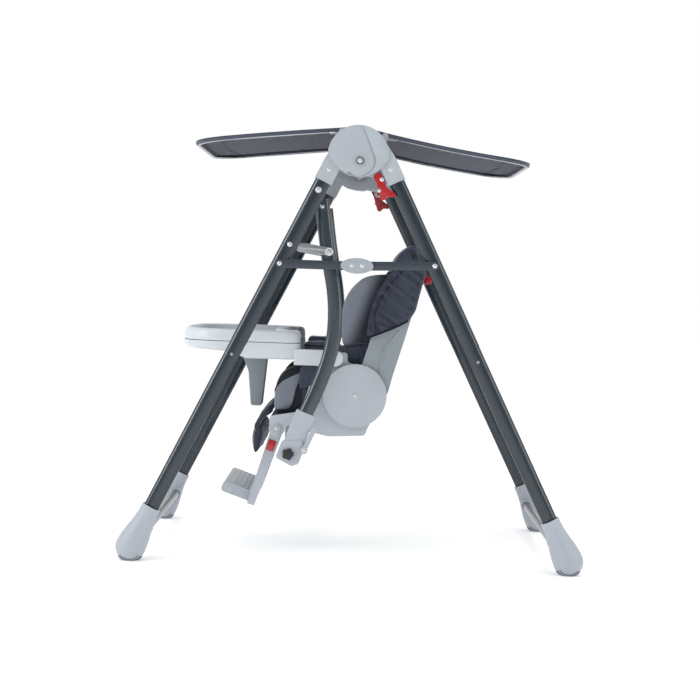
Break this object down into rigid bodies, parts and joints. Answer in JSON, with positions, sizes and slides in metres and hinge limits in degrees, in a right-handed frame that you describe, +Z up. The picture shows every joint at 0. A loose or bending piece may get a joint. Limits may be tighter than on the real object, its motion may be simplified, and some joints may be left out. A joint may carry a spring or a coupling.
{
  "type": "baby swing",
  "caption": "Folding A-frame baby swing: reclining padded seat with tray and footrest hung between the front legs, under a flat two-part canopy.",
  "frame": {"origin": "on the floor, under the middle of the footprint", "axes": "+Z up, -Y the way the child faces, +X the left side of the child"},
  "size_m": [0.701, 1.1138, 1.046],
  "materials": {
    "tube_paint": "gloss",
    "bar_paint": "satin",
    "brace_paint": "satin",
    "zinc": "satin",
    "hub_plastic": "satin",
    "foot_plastic": "satin",
    "sleeve_plastic": "satin",
    "red_plastic": "gloss",
    "black_plastic": "satin",
    "shell_plastic": "satin",
    "tray_plastic": "satin",
    "post_plastic": "satin",
    "foot_plate_plastic": "satin",
    "grey_fabric": "matte",
    "dark_fabric": "matte",
    "canopy_fabric": "matte"
  },
  "bodies": {
    "front_frame": {"front_leg_left": "tube_paint", "front_leg_right": "tube_paint", "front_foot_left": "foot_plastic", "front_foot_right": "foot_plastic", "front_cross_bar": "bar_paint", "hub_front_left": "hub_plastic", "hub_front_right": "hub_plastic", "top_cross_bar": "bar_paint", "swing_bolt_left": "zinc", "swing_bolt_right": "zinc"},
    "rear_frame": {"rear_leg_left": "tube_paint", "rear_leg_right": "tube_paint", "rear_foot_left": "foot_plastic", "rear_foot_right": "foot_plastic", "rear_cross_bar": "bar_paint", "hub_rear_left": "hub_plastic", "hub_rear_right": "hub_plastic"},
    "swing_seat": {"hanger_tube_left": "tube_paint", "hanger_tube_right": "tube_paint", "hanger_sleeve_left": "sleeve_plastic", "hanger_sleeve_right": "sleeve_plastic", "carrier_bar": "bar_paint", "seat_base": "shell_plastic", "seat_pad": "grey_fabric", "recline_disc_left": "shell_plastic", "recline_disc_right": "shell_plastic"},
    "backrest": {"backrest_shell": "shell_plastic", "backrest_pad": "grey_fabric", "head_cover": "dark_fabric"},
    "recline_grip": {"recline_handle": "red_plastic"},
    "tray": {"tray_body": "tray_plastic", "tray_top": "tray_plastic", "tray_post": "post_plastic"},
    "footrest": {"footrest_arm_left": "sleeve_plastic", "footrest_arm_right": "sleeve_plastic", "foot_plate": "foot_plate_plastic", "legrest_pad": "dark_fabric"},
    "canopy_front": {"canopy_front_wire": "zinc", "canopy_front_sheet": "canopy_fabric"},
    "canopy_rear": {"canopy_rear_wire": "zinc", "canopy_rear_sheet": "canopy_fabric"},
    "fold_release_left": {"fold_lever_left": "red_plastic"},
    "front_brace_left": {"brace_front_link_left": "brace_paint"},
    "rear_brace_left": {"brace_rear_link_left": "brace_paint", "brace_cover_left": "hub_plastic"},
    "swing_lock_left": {"lock_link_left": "zinc"},
    "lock_pin_left": {"lock_plunger_left": "zinc"},
    "bar_knob_left": {"star_knob_left": "black_plastic"},
    "hanger_latch_left": {"latch_lever_left": "sleeve_plastic"},
    "foot_button_left": {"footrest_button_left": "red_plastic"},
    "fold_release_right": {"fold_lever_right": "red_plastic"},
    "front_brace_right": {"brace_front_link_right": "brace_paint"},
    "rear_brace_right": {"brace_rear_link_right": "brace_paint", "brace_cover_right": "hub_plastic"},
    "swing_lock_right": {"lock_link_right": "zinc"},
    "lock_pin_right": {"lock_plunger_right": "zinc"},
    "bar_knob_right": {"star_knob_right": "black_plastic"},
    "hanger_latch_right": {"latch_lever_right": "sleeve_plastic"},
    "foot_button_right": {"footrest_button_right": "red_plastic"}
  },
  "joints": [
    {"name": "frame_fold", "type": "hinge", "parent": "front_frame", "child": "rear_frame", "pos_m": [0, -0.0067, 0.962], "axis": [-1, 0, 0], "range_deg": [0, 50]},
    {"name": "brace_front_left", "type": "hinge", "parent": "front_frame", "child": "front_brace_left", "pos_m": [0.32, -0.1872, 0.71625], "axis": [1, 0, 0], "range_deg": [0, 47]},
    {"name": "brace_rear_left", "type": "hinge", "parent": "rear_frame", "child": "rear_brace_left", "pos_m": [0.32, 0.17688, 0.72222], "axis": [-1, 0, 0], "range_deg": [0, 45]},
    {"name": "fold_lever_left", "type": "hinge", "parent": "rear_frame", "child": "fold_release_left", "pos_m": [0.334, 0.0463, 0.92], "axis": [1, 0, 0], "range_deg": [0, 12], "stiffness_Nm_per_rad": 1.5, "springref_deg": -2.86},
    {"name": "lock_left", "type": "hinge", "parent": "front_frame", "child": "swing_lock_left", "pos_m": [0.298, -0.16506, 0.76164], "axis": [1, 0, 0], "range_deg": [0, 65]},
    {"name": "lock_plunger_left", "type": "slide", "parent": "swing_lock_left", "child": "lock_pin_left", "axis": [1, 0, 0], "range_m": [0, 0.005], "stiffness_N_per_m": 400, "springref_m": -0.002},
    {"name": "star_knob_left", "type": "hinge", "parent": "swing_seat", "child": "bar_knob_left", "pos_m": [0.295, -0.15471, 0.26252], "axis": [1, 0, 0], "continuous": true},
    {"name": "latch_left", "type": "hinge", "parent": "swing_seat", "child": "hanger_latch_left", "pos_m": [0.295, -0.11671, 0.27252], "axis": [-1, 0, 0], "range_deg": [0, 30]},
    {"name": "footrest_button_left", "type": "slide", "parent": "footrest", "child": "foot_button_left", "axis": [-1, 0, 0], "range_m": [0, 0.003], "stiffness_N_per_m": 500, "springref_m": -0.001},
    {"name": "brace_front_right", "type": "hinge", "parent": "front_frame", "child": "front_brace_right", "pos_m": [-0.32, -0.1872, 0.71625], "axis": [1, 0, 0], "range_deg": [0, 47]},
    {"name": "brace_rear_right", "type": "hinge", "parent": "rear_frame", "child": "rear_brace_right", "pos_m": [-0.32, 0.17688, 0.72222], "axis": [-1, 0, 0], "range_deg": [0, 45]},
    {"name": "fold_lever_right", "type": "hinge", "parent": "rear_frame", "child": "fold_release_right", "pos_m": [-0.334, 0.0463, 0.92], "axis": [1, 0, 0], "range_deg": [0, 12], "stiffness_Nm_per_rad": 1.5, "springref_deg": -2.86},
    {"name": "lock_right", "type": "hinge", "parent": "front_frame", "child": "swing_lock_right", "pos_m": [-0.298, -0.16506, 0.76164], "axis": [1, 0, 0], "range_deg": [0, 65]},
    {"name": "lock_plunger_right", "type": "slide", "parent": "swing_lock_right", "child": "lock_pin_right", "axis": [-1, 0, 0], "range_m": [0, 0.005], "stiffness_N_per_m": 400, "springref_m": -0.002},
    {"name": "star_knob_right", "type": "hinge", "parent": "swing_seat", "child": "bar_knob_right", "pos_m": [-0.295, -0.15471, 0.26252], "axis": [1, 0, 0], "continuous": true},
    {"name": "latch_right", "type": "hinge", "parent": "swing_seat", "child": "hanger_latch_right", "pos_m": [-0.295, -0.11671, 0.27252], "axis": [-1, 0, 0], "range_deg": [0, 30]},
    {"name": "footrest_button_right", "type": "slide", "parent": "footrest", "child": "foot_button_right", "axis": [1, 0, 0], "range_m": [0, 0.003], "stiffness_N_per_m": 500, "springref_m": -0.001},
    {"name": "swing", "type": "hinge", "parent": "front_frame", "child": "swing_seat", "pos_m": [0, -0.10171, 0.89152], "axis": [1, 0, 0], "range_deg": [-12, 12]},
    {"name": "recline", "type": "hinge", "parent": "swing_seat", "child": "backrest", "pos_m": [0, 0.00029, 0.39952], "axis": [-1, 0, 0], "range_deg": [0, 35]},
    {"name": "recline_handle", "type": "slide", "parent": "backrest", "child": "recline_grip", "axis": [0, 0, 1], "range_m": [0, 0.006], "stiffness_N_per_m": 600, "springref_m": -0.001},
    {"name": "tray_slide", "type": "slide", "parent": "swing_seat", "child": "tray", "axis": [0, -1, 0], "range_m": [0, 0.06]},
    {"name": "footrest_tilt", "type": "hinge", "parent": "swing_seat", "child": "footrest", "pos_m": [0, -0.18871, 0.31152], "axis": [-1, 0, 0], "range_deg": [0, 40]},
    {"name": "canopy_front_tilt", "type": "hinge", "parent": "front_frame", "child": "canopy_front", "pos_m": [0, -0.0517, 1.03233], "axis": [1, 0, 0], "range_deg": [0, 25]},
    {"name": "canopy_rear_tilt", "type": "hinge", "parent": "front_frame", "child": "canopy_rear", "pos_m": [0, 0.0503, 1.02353], "axis": [-1, 0, 0], "range_deg": [0, 25]}
  ],
  "couplings": [
    {"joint": "brace_front_left", "follows": "frame_fold", "ratio": 0.9357},
    {"joint": "brace_rear_left", "follows": "frame_fold", "ratio": 0.8964},
    {"joint": "brace_front_right", "follows": "frame_fold", "ratio": 0.9357},
    {"joint": "brace_rear_right", "follows": "frame_fold", "ratio": 0.8964}
  ]
}
